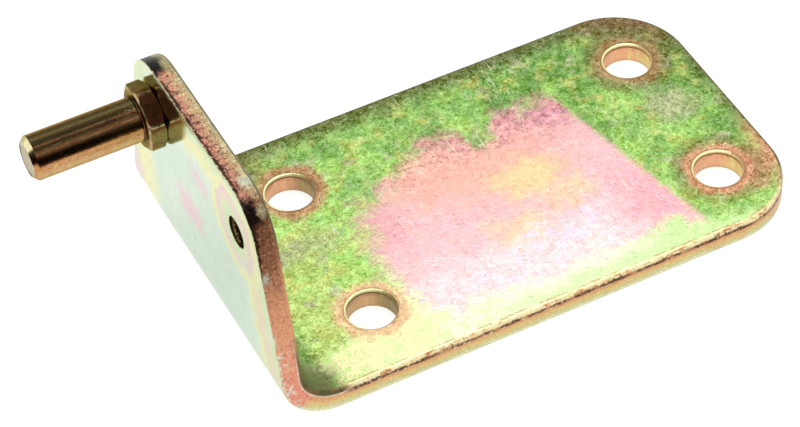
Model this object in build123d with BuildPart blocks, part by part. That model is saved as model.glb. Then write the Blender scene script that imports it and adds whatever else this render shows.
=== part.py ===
from build123d import *
from math import cos, radians, tan
import os

# Hinge bracket: a plate of thick sheet, folded up at one end into a tapered flange.
# The flange carries a turned pin with a hexagon collar, screwed into one of two tapped holes.
# X runs along the plate from the flange to the free end, Y across it and Z up.
# The origin is the centre of the four fixing holes, on the underside of the plate.
# All sizes are in millimetres and degrees.

# Sheet
sheet_thickness = 3.0
plate_width = 44.5
inside_bend_radius = 5.2
rolled_edge_radius = 0.55
hole_rim_radius = 0.25

# Fixing holes and free end of the plate
fixing_pitch_along = 52.0
fixing_pitch_across = 24.0
fixing_hole_diameter = 6.6
last_hole_to_free_end = 8.5
free_corner_radius = 10.7

# Flange
first_hole_to_flange = 17.5
flange_height = 33.9
flange_taper_angle = 12.0
bend_to_taper = 0.4
taper_blend_radius = 12.0
flange_corner_radius = 7.0

# Tapped holes in the flange, one for the pin and one spare for the other hand
tapped_pitch = 24.0
tapped_hole_to_top = 7.6
thread_core_diameter = 4.2
tapped_mouth_diameter = 4.5
tapped_mouth_angle = 90.0

# Hinge pin
pin_diameter = 6.0
pin_length = 15.0
pin_tip_chamfer = 0.65
pin_root_radius = 0.25
collar_sides = 6
collar_across_flats = 8.0
collar_thickness = 2.5
collar_chamfer_angle = 30.0
collar_rim_inset = 0.1
collar_turn = 22.0
stud_clearance = 0.05
stud_end_chamfer = 0.5

outside_bend_radius = inside_bend_radius + sheet_thickness
free_end_x = fixing_pitch_along / 2 + last_hole_to_free_end
outer_face_x = -(fixing_pitch_along / 2 + first_hole_to_flange)
inner_face_x = outer_face_x + sheet_thickness
taper_start = outside_bend_radius + bend_to_taper
taper_run = (flange_height - taper_start) * tan(radians(flange_taper_angle))
tapped_height = flange_height - tapped_hole_to_top

# Planes on the outer face of the flange, facing away from the plate
flange_middle = Plane(origin=(outer_face_x, 0, tapped_height), x_dir=(0, 1, 0), z_dir=(-1, 0, 0))
pin_seat = Plane(origin=(outer_face_x, tapped_pitch / 2, tapped_height), x_dir=(0, 1, 0), z_dir=(-1, 0, 0))

with BuildPart() as bracket_plate:
    # The fold, seen from the side
    with BuildSketch(Plane.XZ):
        with BuildLine():
            outside = FilletPolyline(
                (free_end_x, 0), (outer_face_x, 0), (outer_face_x, flange_height), radius=outside_bend_radius
            )
            inside = FilletPolyline(
                (inner_face_x, flange_height),
                (inner_face_x, sheet_thickness),
                (free_end_x, sheet_thickness),
                radius=inside_bend_radius,
            )
            Line(outside @ 1, inside @ 0)
            Line(inside @ 1, outside @ 0)
        make_face()
    extrude(amount=plate_width / 2, both=True)

    # The flange narrows towards its top on both sides
    with BuildSketch(Plane.YZ.offset(outer_face_x)):
        with BuildLine():
            Polyline(
                (plate_width / 2, taper_start),
                (plate_width / 2, flange_height),
                (plate_width / 2 - taper_run, flange_height),
                close=True,
            )
        make_face()
        mirror(about=Plane.YZ)
    extrude(amount=sheet_thickness, mode=Mode.SUBTRACT)

    # Rounded outline
    fillet(bracket_plate.edges().filter_by(Axis.Z).group_by(Axis.X)[-1], free_corner_radius)
    fillet(bracket_plate.edges().filter_by(Axis.X).group_by(Axis.Z)[-2], taper_blend_radius)
    fillet(bracket_plate.edges().filter_by(Axis.X).group_by(Axis.Z)[-1], flange_corner_radius)

    # Fixing holes, punched from above
    with Locations((0, 0, sheet_thickness)):
        with GridLocations(fixing_pitch_along, fixing_pitch_across, 2, 2):
            Hole(radius=fixing_hole_diameter / 2, depth=sheet_thickness)
    fillet(bracket_plate.edges().filter_by(lambda edge: edge.is_closed).group_by(Axis.Z)[-1], hole_rim_radius)

    # Cutting the blank rolls the upper edge of its outline over, round through the bend too
    plate_faces = bracket_plate.faces().filter_by(Axis.Z).group_by(Axis.Z)
    flange_faces = bracket_plate.faces().filter_by(Axis.X).group_by(Axis.X)
    round_faces = bracket_plate.faces().filter_by(GeomType.CYLINDER)
    bend_faces = round_faces.filter_by(lambda face: face.axis_of_rotation.is_parallel(Axis.Y))
    inside_bend = bend_faces.group_by(lambda face: face.radius)[0]
    upper_faces = plate_faces[1] + flange_faces[1] + inside_bend
    upper_edges = ShapeList(edge for face in upper_faces for edge in face.edges())
    border_edges = ShapeList(edge for edge in upper_edges if upper_edges.count(edge) == 1)
    fillet(border_edges.filter_by(lambda edge: not edge.is_closed), rolled_edge_radius)

    # Tapped holes, drilled from the outer face, with the sharp edge of the mouth broken
    with Locations(flange_middle):
        with GridLocations(tapped_pitch, 0, 2, 1):
            CounterSinkHole(
                radius=thread_core_diameter / 2,
                counter_sink_radius=tapped_mouth_diameter / 2,
                depth=sheet_thickness,
                counter_sink_angle=tapped_mouth_angle,
            )
bracket_plate.part.label = "bracket_plate"

# The pin is turned from hexagon bar: smooth pin, hexagon collar, and a stud that fills the tapped hole
collar_corner_radius = collar_across_flats / 2 / cos(radians(180 / collar_sides))
collar_rim_radius = collar_across_flats / 2 - collar_rim_inset
collar_chamfer_depth = (collar_corner_radius - collar_rim_radius) * tan(radians(collar_chamfer_angle))
stud_radius = thread_core_diameter / 2 - stud_clearance
stud_length = sheet_thickness

with BuildPart() as hinge_pin:
    with BuildSketch(pin_seat):
        RegularPolygon(collar_across_flats / 2, collar_sides, major_radius=False, rotation=collar_turn)
    extrude(amount=collar_thickness)
    # Both ends of the hexagon are turned to a cone
    with BuildSketch(Plane(origin=pin_seat.origin, x_dir=(0, 1, 0), z_dir=(0, 0, 1))):
        with BuildLine():
            Polyline(
                (0, 0),
                (collar_rim_radius, 0),
                (collar_corner_radius, collar_chamfer_depth),
                (collar_corner_radius, collar_thickness - collar_chamfer_depth),
                (collar_rim_radius, collar_thickness),
                (0, collar_thickness),
                close=True,
            )
        make_face()
    revolve(axis=Axis(pin_seat.origin, pin_seat.z_dir), mode=Mode.INTERSECT)
    with BuildSketch(pin_seat.offset(collar_thickness)):
        Circle(pin_diameter / 2)
    extrude(amount=pin_length)
    fillet(hinge_pin.edges(Select.LAST).filter_by(GeomType.CIRCLE).sort_by(Axis.X)[-1], pin_root_radius)
    chamfer(hinge_pin.edges().sort_by(Axis.X)[0], pin_tip_chamfer)
    with BuildSketch(pin_seat):
        Circle(stud_radius)
    extrude(amount=-stud_length)
    chamfer(hinge_pin.edges().sort_by(Axis.X)[-1], stud_end_chamfer)
hinge_pin.part.label = "hinge_pin"

os.makedirs("parts", exist_ok=True)
export_step(bracket_plate.part, "parts/bracket_plate.step")
export_step(hinge_pin.part, "parts/hinge_pin.step")
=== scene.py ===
import bpy
import math
from mathutils import Matrix, Vector


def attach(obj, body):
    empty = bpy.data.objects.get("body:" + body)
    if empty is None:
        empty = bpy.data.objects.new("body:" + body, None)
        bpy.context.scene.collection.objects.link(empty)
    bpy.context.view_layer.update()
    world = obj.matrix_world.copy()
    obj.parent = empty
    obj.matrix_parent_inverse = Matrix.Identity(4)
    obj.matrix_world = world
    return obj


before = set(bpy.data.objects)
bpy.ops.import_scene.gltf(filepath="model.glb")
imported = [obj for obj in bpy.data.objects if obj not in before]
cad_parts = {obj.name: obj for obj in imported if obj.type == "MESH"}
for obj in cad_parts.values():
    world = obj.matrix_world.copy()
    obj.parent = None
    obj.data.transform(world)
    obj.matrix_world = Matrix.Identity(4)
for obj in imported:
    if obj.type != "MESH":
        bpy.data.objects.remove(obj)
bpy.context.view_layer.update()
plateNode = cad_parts["bracket_plate"]
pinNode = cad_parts["hinge_pin"]
print("frame loaded")


# a bench for material nodes on object coordinates in millimetres: a call adds nodes and returns their output
class NodeBench:
    def __init__(self, name):
        self.material = bpy.data.materials.new(name)
        self.material.use_nodes = True
        self.tree = self.material.node_tree
        self.tree.nodes.clear()
        self.shader = self.node("ShaderNodeBsdfPrincipled")
        output = self.node("ShaderNodeOutputMaterial")
        self.tree.links.new(self.shader.outputs[0], output.inputs[0])
        coords = self.node("ShaderNodeTexCoord")
        scaled = self.node("ShaderNodeVectorMath", operation="SCALE")
        self.tree.links.new(coords.outputs["Object"], scaled.inputs[0])
        scaled.inputs["Scale"].default_value = 1000.0     # metres to millimetres
        self.place = scaled.outputs[0]
        self.x, self.y, self.z = self.split(self.place)

    def node(self, kind, **settings):
        made = self.tree.nodes.new(kind)
        for name, value in settings.items():
            setattr(made, name, value)
        return made

    def plug(self, value, socket):
        if isinstance(value, bpy.types.NodeSocket):
            self.tree.links.new(value, socket)
        elif socket.type == "RGBA" and len(value) == 3:
            socket.default_value = (*value, 1.0)
        else:
            socket.default_value = value

    def split(self, vector):
        parts = self.node("ShaderNodeSeparateXYZ")
        self.tree.links.new(vector, parts.inputs[0])
        return parts.outputs

    def calc(self, operation, *values):
        made = self.node("ShaderNodeMath", operation=operation)
        for value, socket in zip(values, made.inputs):
            self.plug(value, socket)
        return made.outputs[0]

    def add(self, first, *others):
        for other in others:
            first = self.calc("ADD", first, other)
        return first

    def mul(self, first, *others):
        for other in others:
            first = self.calc("MULTIPLY", first, other)
        return first

    def sub(self, first, second):
        return self.calc("SUBTRACT", first, second)

    def least(self, first, second):
        return self.calc("MINIMUM", first, second)

    def most(self, first, second):
        return self.calc("MAXIMUM", first, second)

    def length(self, first, second):
        return self.calc("SQRT", self.add(self.mul(first, first), self.mul(second, second)))

    # goes smoothly from 0 at start to 1 at end
    def fade(self, value, start, end, low=0.0, high=1.0):
        made = self.node("ShaderNodeMapRange", interpolation_type="SMOOTHSTEP")
        for number, entry in enumerate((value, start, end, low, high)):
            self.plug(entry, made.inputs[number])
        return made.outputs[0]

    # 1 at the middle and 0 from reach on
    def near(self, value, middle, reach, core=0.25):
        return self.fade(self.calc("ABSOLUTE", self.sub(value, middle)), reach, self.mul(reach, core))

    def spot(self, x, y, centre, size):
        across = self.calc("DIVIDE", self.sub(x, centre[0]), size[0])
        along = self.calc("DIVIDE", self.sub(y, centre[1]), size[1])
        return self.fade(self.length(across, along), 1.0, 0.25)

    def mix(self, amount, first, second, mode="MIX"):
        made = self.node("ShaderNodeMix", data_type="RGBA", blend_type=mode, clamp_result=mode == "ADD")
        self.plug(amount, made.inputs[0])
        self.plug(first, made.inputs[6])
        self.plug(second, made.inputs[7])
        return made.outputs[2]

    def shade(self, colour, factor):
        return self.mix(1.0, colour, factor, "MULTIPLY")

    def ramp(self, value, stops):
        made = self.node("ShaderNodeValToRGB")
        elements = made.color_ramp.elements
        while len(elements) < len(stops):
            elements.new(0.5)
        for element, (place, colour) in zip(elements, stops):
            element.position = place
            element.color = (*colour, 1.0)
        self.plug(value, made.inputs[0])
        return made.outputs[0]

    def stretched(self, scale, turn=(0.0, 0.0, 0.0), shift=(0.0, 0.0, 0.0)):
        made = self.node("ShaderNodeMapping")
        self.plug(self.place, made.inputs["Vector"])
        self.plug(shift, made.inputs["Location"])
        self.plug(turn, made.inputs["Rotation"])
        self.plug(scale, made.inputs["Scale"])
        return made.outputs[0]

    # the place moved by a fixed step, so that a noise of the same scale has another pattern
    def elsewhere(self, x, y, z):
        return self.stretched((1, 1, 1), shift=(x, y, z))

    def noise(self, scale, detail, roughness, warp, place):
        made = self.node("ShaderNodeTexNoise")
        self.plug(place or self.place, made.inputs["Vector"])
        self.plug(scale, made.inputs["Scale"])
        self.plug(detail, made.inputs["Detail"])
        self.plug(roughness, made.inputs["Roughness"])
        self.plug(warp, made.inputs["Distortion"])
        return made

    # noise about zero
    def grain(self, scale, detail=2.0, roughness=0.5, warp=0.0, place=None):
        return self.sub(self.noise(scale, detail, roughness, warp, place).outputs[0], 0.5)

    # the place moved about by noise, so that a border drawn with it wanders
    def wandering(self, scale, reach, place=None, detail=2.0):
        drift = self.noise(scale, detail, 0.6, 0.0, None).outputs[1]
        centred = self.node("ShaderNodeVectorMath", operation="SUBTRACT")
        self.plug(drift, centred.inputs[0])
        centred.inputs[1].default_value = (0.5, 0.5, 0.5)
        moved = self.node("ShaderNodeVectorMath", operation="MULTIPLY_ADD")
        self.plug(centred.outputs[0], moved.inputs[0])
        moved.inputs[1].default_value = (reach, reach, reach)
        self.plug(place or self.place, moved.inputs[2])
        return moved.outputs[0]

    def cells(self, scale, feature="F1", output="Distance", place=None):
        made = self.node("ShaderNodeTexVoronoi", feature=feature)
        self.plug(place or self.place, made.inputs["Vector"])
        self.plug(scale, made.inputs["Scale"])
        return made.outputs[output]

    def scratches(self, scale, turn, width, shift=(0.0, 0.0, 0.0)):
        line = self.grain(1.0, 1.0, 0.5, 0.3, self.stretched(scale, turn, shift))
        return self.fade(self.calc("ABSOLUTE", line), width, 0.0)

    # lays one colour over another on each of a list of soft spots
    def dab(self, x, y, colour, spots, colours):
        for centre, size, strength, name in spots:
            colour = self.mix(self.mul(self.spot(x, y, centre, size), strength), colour, colours[name])
        return colour

    def bump(self, height, distance):
        made = self.node("ShaderNodeBump")
        self.plug(height, made.inputs["Height"])
        made.inputs["Strength"].default_value = 1.0
        made.inputs["Distance"].default_value = distance
        self.plug(made.outputs[0], self.shader.inputs["Normal"])


# the folded sheet, yellow passivated steel
sheet = {
    "outerRadius": 8.2,
    "outerFace": -43.5,
    "halfWidth": 22.25,
    "freeEnd": 34.5,
    "cornerRadius": 10.7,
    "taper": math.radians(12),
    "taperStart": 8.6,
    "height": 33.9,
    "holeAlong": 26.0,
    "holeAcross": 12.0,
    "holeRadius": 3.3,
    "tappedHeight": 26.3,
    "tappedRadius": 2.1,
    "threadPitch": 0.8,
    "metallic": 0.92,
    "roughness": 0.32,
    "faceRoughness": 0.12,
    "relief": 0.00007,
}

# colours of the film on the upper side
film = {
    "sun": (0.92, 0.66, 0.35),
    "peach": (0.90, 0.47, 0.38),
    "rosePale": (0.90, 0.54, 0.57),
    "rose": (0.89, 0.43, 0.50),
    "roseDeep": (0.58, 0.245, 0.31),
    "roseDull": (0.78, 0.365, 0.435),
    "lavender": (0.90, 0.76, 0.77),
    "leaf": (0.37, 0.63, 0.15),
    "green": (0.26, 0.48, 0.12),
    "greenDark": (0.12, 0.27, 0.05),
    "lime": (0.50, 0.66, 0.19),
    "gold": (0.56, 0.55, 0.15),
    "dusty": (0.42, 0.44, 0.24),
    "cream": (0.94, 0.95, 0.50),
    "white": (0.91, 0.94, 0.68),
    "limeCream": (0.60, 0.85, 0.36),
    "olive": (0.13, 0.15, 0.045),
    "brown": (0.20, 0.12, 0.05),
    "nook": (0.08, 0.085, 0.03),
    "gilt": (0.90, 0.84, 0.46),
    "lilac": (0.88, 0.68, 0.88),
    "ringPale": (0.80, 0.50, 0.28),
    "ringTan": (0.50, 0.26, 0.14),
    "ringBrown": (0.40, 0.24, 0.11),
    "ringCopper": (0.64, 0.29, 0.17),
}

# colours of the glossy outer side, where the film is thin
outerFilm = {
    "cyan": (0.73, 0.90, 0.71),
    "ice": (0.80, 0.94, 0.74),
    "yellow": (0.97, 0.96, 0.45),
    "peach": (0.95, 0.76, 0.54),
    "pink": (0.94, 0.66, 0.69),
    "green": (0.76, 0.90, 0.50),
    "pit": (0.10, 0.09, 0.07),
}

# colours of the cut edge, and the height over which its near side turns from salmon to rust
cutEdge = {
    "palest": (0.90, 0.88, 0.58),
    "olive": (0.74, 0.70, 0.33),
    "gold": (0.88, 0.66, 0.27),
    "orange": (0.82, 0.46, 0.22),
    "copper": (0.50, 0.22, 0.12),
    "salmon": (0.92, 0.34, 0.23),
    "tan": (0.79, 0.37, 0.20),
    "rust": (0.44, 0.18, 0.09),
    # pale, for scuffs and for a painted highlight line in the bend
    "scuffAndHighlight": (0.82, 0.80, 0.64),
    "flakeSalmon": (1.00, 0.46, 0.31),
    "flakeGold": (1.00, 0.66, 0.34),
    # cream of real flakes, also used for painted highlights
    "creamFlakeAndHighlight": (1.00, 0.86, 0.50),
    "crack": (0.05, 0.025, 0.015),
    # near black, for painted shade and painted dark reflection
    "shadeBlack": (0.02, 0.018, 0.015),
    "darkRed": (0.12, 0.03, 0.02),
    "smooth": (0.13, 0.125, 0.06),
    "smoothDark": (0.075, 0.0715, 0.0375),
    "smoothPale": (0.558, 0.506, 0.249),
    "wallCopper": (1.0, 0.56, 0.32),
    "wallGold": (0.92, 0.76, 0.30),
    "wallOlive": (0.66, 0.50, 0.22),
    # near black, a painted shade inside the tapped bore
    "boreShade": (0.05, 0.03, 0.012),
    "sideHeight": 34.0,
}


# where a point is in the sheet, and the noises that all its sides share
def measureSheet(m):
    s = sheet
    x, y, z = m.x, m.y, m.z
    m.absX = m.calc("ABSOLUTE", x)
    m.absY = m.calc("ABSOLUTE", y)

    # depth is 0 on the outer side and 3 on the upper side, round the bend too
    inX = m.most(m.sub(s["outerFace"] + s["outerRadius"], x), 0.0)
    inZ = m.most(m.sub(s["outerRadius"], z), 0.0)
    m.depth = m.sub(s["outerRadius"], m.length(inX, inZ))

    # in from the cut outline
    cornerX = m.most(m.sub(x, s["freeEnd"] - s["cornerRadius"]), 0.0)
    cornerY = m.most(m.sub(m.absY, s["halfWidth"] - s["cornerRadius"]), 0.0)
    plateIn = m.sub(s["cornerRadius"], m.length(cornerX, cornerY))
    rise = m.most(m.sub(z, s["taperStart"]), 0.0)
    sideIn = m.mul(m.sub(s["halfWidth"], m.absY), math.cos(s["taper"]))
    sideIn = m.sub(sideIn, m.mul(rise, math.sin(s["taper"])))
    flangeIn = m.calc("SMOOTH_MIN", sideIn, m.sub(s["height"], z), 5.0)
    m.fromEdge = m.least(plateIn, flangeIn)

    # out from the holes
    m.holeX = m.sub(m.absX, s["holeAlong"])
    m.holeY = m.sub(m.absY, s["holeAcross"])
    m.fromHole = m.sub(m.length(m.holeX, m.holeY), s["holeRadius"])
    m.fromTapped = m.sub(m.length(m.holeY, m.sub(z, s["tappedHeight"])), s["tappedRadius"])

    m.cloud = m.grain(0.22, 3.0, 0.6)
    m.wander = m.grain(0.42, 4.0, 0.6)
    m.coarse = m.grain(1.2, 4.0, 0.62, 0.6)
    m.fine = m.grain(3.2, 3.0, 0.7, 0.6)
    m.ultra = m.grain(7.5, 2.0, 0.6)


# soft spots on the upper side: middle, half size, strength and colour
upperSpots = {
    "roseWarmth": [
        ((-6.5, 5.0), (12.0, 8.5), 0.9, "peach"),
        ((2.0, 2.0), (14.0, 9.0), 0.8, "peach"),
        ((16.0, -12.0), (7.0, 11.0), 0.8, "rose"),
        ((-18.0, -0.5), (5.0, 6.0), 0.9, "roseDull"),
    ],
    "roseSun": [
        ((3.0, -0.5), (8.5, 5.0), 0.95, "sun"),
        ((-2.5, -9.5), (6.5, 5.0), 0.75, "sun"),
        ((7.0, -6.0), (5.5, 3.5), 0.6, "sun"),
    ],
    "greenPatches": [
        ((26.5, 2.0), (5.0, 5.0), 0.85, "dusty"),
        ((-28.5, 2.0), (6.5, 4.0), 0.6, "dusty"),
        # these two cream spots at the front left are painted highlight
        ((-26.0, -14.0), (7.0, 5.0), 0.40, "cream"),
        ((-20.5, -13.5), (4.5, 7.0), 0.5, "cream"),
    ],
    "brownCorners": [
        ((32.0, 20.0), (11.0, 7.5), 0.75, "brown"),
        ((-37.5, 18.5), (14.0, 7.5), 0.95, "brown"),
        ((31.0, -14.0), (6.5, 5.5), 0.75, "ringCopper"),
    ],
}


# borders of the rose patch: how far they are from the middle, and which way the slanting ones face
patchBorders = {
    "right": 15.3,
    "rightFacing": (0.978, 0.207),
    "back": 11.6,
    "backDipAt": 1.2,
    "backDipReach": 3.6,
    "backDip": 3.6,
    "leftBack": 13.4,
    "leftBackFacing": (-0.555, 0.832),
    "left": 21.0,
    "cornerRadius": 2.0,
}


# a mask that is 1 outside the rose patch, whose border is straight on the right and ragged elsewhere
def outsidePatch(m, wx, wy):
    b = patchBorders
    right = m.add(m.mul(m.x, b["rightFacing"][0]), m.mul(m.y, b["rightFacing"][1]), -b["right"])
    right = m.add(right, m.mul(m.coarse, 2.2), m.mul(m.fine, 1.4))
    dip = m.mul(m.near(m.x, b["backDipAt"], b["backDipReach"]), b["backDip"])
    back = m.add(m.sub(wy, b["back"]), dip)
    leftBack = m.add(m.mul(wx, b["leftBackFacing"][0]), m.mul(wy, b["leftBackFacing"][1]), -b["leftBack"])
    left = m.sub(-b["left"], wx)
    patch = m.calc("SMOOTH_MAX", back, leftBack, b["cornerRadius"])
    patch = m.calc("SMOOTH_MAX", patch, left, b["cornerRadius"])
    patch = m.add(patch, m.mul(m.coarse, 4.5), m.mul(m.wander, 2.5))
    return m.most(m.fade(patch, -2.8, 2.4), m.fade(right, -0.7, 0.7))


# rose, with a warm middle, a dull back and a lavender front of painted highlight
def rosePatch(m, wx, wy):
    k = film
    rose = m.mix(m.fade(wy, 1.0, 9.5), k["rosePale"], k["roseDeep"])
    rose = m.dab(wx, wy, rose, upperSpots["roseWarmth"], k)
    mottle = m.fade(m.grain(0.75, 4.0, 0.62, 0.5, m.elsewhere(23, 5, 0)), -0.12, 0.16)
    rose = m.mix(m.mul(mottle, 0.40), rose, k["peach"])
    rose = m.dab(wx, wy, rose, upperSpots["roseSun"], k)
    # the lavender front of the patch is a painted highlight
    lavenderHighlight = m.mul(m.fade(wy, -6.5, -13.5), m.fade(wx, 15.0, 6.0), m.fade(mottle, 0.0, 1.0, 1.0, 0.55))
    rose = m.mix(m.mul(lavenderHighlight, 0.9), rose, k["lavender"])
    lilacLeft = m.mul(m.spot(wx, wy, (-6.0, -16.0), (9.0, 4.0)), m.fade(m.wander, 0.0, 0.12))
    lilacRight = m.mul(m.spot(wx, wy, (3.0, -12.0), (10.0, 3.5)), m.fade(m.wander, -0.06, 0.08))
    rose = m.mix(m.mul(lilacLeft, 0.6), rose, k["lilac"])
    return m.mix(m.mul(lilacRight, 0.6), rose, k["lilac"])


# the green round the patch, lighter to the left and the front, partly as painted highlight, with gold, dusty
# and cream places
def greenField(m, wx, wy):
    k = film
    # lime towards the front and left, dark green towards the back and right: partly film tone, partly
    # painted highlight falling off towards the back
    lean = m.add(m.mul(m.x, 0.009), m.mul(m.y, 0.014), m.mul(m.cloud, 1.7), m.wander, 0.45)
    green = m.ramp(lean, [(0.05, k["lime"]), (0.36, k["leaf"]), (0.62, k["green"]), (0.98, k["greenDark"])])
    gold = m.fade(m.grain(0.34, 3.0, 0.6, place=m.elsewhere(11, 3, 0)), 0.00, 0.20)
    green = m.mix(m.mul(gold, 0.70), green, k["gold"])
    blush = m.fade(m.grain(0.30, 3.0, 0.6, place=m.elsewhere(40, 9, 0)), 0.05, 0.20)
    green = m.mix(m.mul(blush, 0.85), green, k["dusty"])
    return m.dab(wx, wy, green, upperSpots["greenPatches"], k)


# the bright front, a painted highlight over the film: white in the middle, cream on the left and lime on the
# right
def frontHighlight(m, wx):
    k = film
    pale = m.mix(m.fade(wx, -14.0, -24.0), k["white"], k["cream"])
    pale = m.mix(m.fade(wx, 4.0, 16.0), pale, k["limeCream"])
    limes = m.fade(m.add(m.mul(m.wander, 1.2), m.mul(m.coarse, 1.3), m.mul(m.fine, 0.5)), -0.03, 0.14)
    pale = m.mix(m.mul(limes, m.fade(m.x, 2.0, -16.0, 0.30, 0.80)), pale, k["limeCream"])
    yellows = m.fade(m.add(m.mul(m.cloud, 1.6), m.mul(m.coarse, 0.8)), -0.02, -0.16)
    pale = m.mix(m.mul(yellows, m.fade(m.x, -8.0, -22.0), 0.7), pale, k["gilt"])
    pale = m.mix(m.mul(limes, m.fade(m.x, -29.0, -34.0), 0.7), pale, k["leaf"])
    besideRoll = m.mul(m.fade(m.add(m.fromEdge, m.mul(m.wander, 5.0)), 3.6, 1.4), m.fade(m.x, -18.0, -4.0))
    return m.mix(m.mul(besideRoll, 0.75), pale, k["limeCream"])


# a dark band inside the back and right outline, brown in the far corners, and painted dark reflection in the
# bend
def darkPlaces(m, upper, wx, wy):
    k = film
    inward = m.add(m.fromEdge, m.mul(m.wander, 3.0), m.mul(m.coarse, 2.4))
    atBack = m.fade(m.y, 10.0, 17.0)
    atRight = m.mul(m.fade(m.x, 24.0, 29.0), m.fade(m.y, -18.0, -11.0))
    band = m.most(m.mul(m.fade(inward, 4.8, 0.6), atBack), m.mul(m.fade(inward, 3.4, 0.2), atRight, 0.85))
    bandColour = m.mix(m.spot(wx, wy, (31.0, 19.0), (13.0, 10.0)), k["olive"], k["brown"])
    bandColour = m.mix(m.fade(m.y, -3.0, -9.0), bandColour, k["ringCopper"])
    upper = m.mix(m.mul(band, 0.93), upper, bandColour)
    upper = m.dab(wx, wy, upper, upperSpots["brownCorners"], k)
    # painted dark reflection along the inside of the bend low down, and more at the bend's front end
    bendReflection = m.mul(m.fade(m.add(m.x, m.mul(m.coarse, 4.0)), -34.6, -37.4), m.fade(m.z, 13.0, 6.0))
    upper = m.mix(m.mul(bendReflection, 0.8), upper, m.mix(m.fade(m.wander, -0.1, 0.1), k["olive"], k["greenDark"]))
    nookX = m.fade(m.add(m.x, m.mul(m.wander, 5.0)), -33.2, -36.0)
    nookY = m.fade(m.add(m.y, m.mul(m.coarse, 3.0)), -16.5, -20.5)
    return m.mix(m.mul(nookX, nookY, m.fade(m.z, 16.0, 8.0), 0.85), upper, k["olive"])


# light and dark crystals, cream specks of painted glint, and scratches, calmer where the plate is bright
def crystalGrain(m, upper, calm):
    k = film
    tone = m.add(m.mul(m.fine, 2.0), m.mul(m.coarse, 2.0), m.mul(m.ultra, 0.7), m.mul(m.wander, 0.8))
    tone = m.mul(m.most(tone, -0.42), calm)
    upper = m.shade(upper, m.add(1.0, m.mul(tone, 0.70)))
    upper = m.mix(1.0, upper, m.mul(tone, 0.15), "ADD")
    # cream specks are painted glints
    glintSpecks = m.fade(m.grain(3.9, 2.0, 0.5, 0.4), 0.15, 0.24)
    upper = m.mix(m.mul(glintSpecks, calm, 0.6), upper, k["cream"])
    marks = m.scratches((0.9, 0.10, 1.0), (0, 0, 0.5), 0.008)
    marks = m.mul(marks, m.fade(m.grain(0.16, 2.0, 0.5), 0.0, 0.10))
    hairs = m.fade(m.calc("ABSOLUTE", m.grain(0.9, 3.0, 0.6, 1.2, m.elsewhere(2, 31, 0))), 0.010, 0.0)
    hairs = m.mul(hairs, m.spot(m.x, m.y, (-13.0, -4.0), (9.0, 8.0)), m.fade(m.fine, -0.02, 0.08))
    second = m.scratches((0.12, 0.8, 1.0), (0, 0, 0.9), 0.005, (7, 3, 0))
    second = m.mul(second, m.fade(m.wander, 0.05, 0.16))
    return m.mix(m.mul(m.most(m.most(marks, hairs), second), 0.6), upper, k["white"])


# the roll along the outline: gold and copper with a painted highlight on the front roll, dark olive and
# brown elsewhere
def outlineRoll(m, upper):
    k, e = film, cutEdge
    along = m.stretched((0.42, 1.0, 1.0))
    rollTone = m.add(m.mul(m.grain(1.5, 3.0, 0.65, 0.3, along), 2.6), m.mul(m.fine, 1.2), 0.50)
    roll = m.ramp(rollTone, [
        (0.05, e["copper"]), (0.26, e["orange"]), (0.46, k["gilt"]), (0.85, e["creamFlakeAndHighlight"]),
    ])
    onFront = m.mul(m.fade(m.y, -14.0, -20.0), m.fade(m.x, -35.5, -33.0))
    # the front roll carries a painted highlight in gold and cream over copper and orange
    m.rollColour = m.mix(onFront, m.mix(m.fade(m.wander, -0.1, 0.1), k["nook"], k["brown"]), roll)
    onRoll = m.fade(m.add(m.fromEdge, m.mul(m.coarse, 0.5)), 0.62, 0.30)
    upper = m.mix(m.mul(onRoll, 0.9), upper, m.rollColour)
    seam = m.near(m.add(m.fromEdge, m.mul(m.coarse, 0.7), m.mul(m.fine, 0.3)), 0.62, 0.20)
    seam = m.mul(seam, m.fade(m.wander, -0.08, 0.05))
    return m.mix(m.mul(seam, onFront, 0.7), upper, e["copper"])


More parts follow.
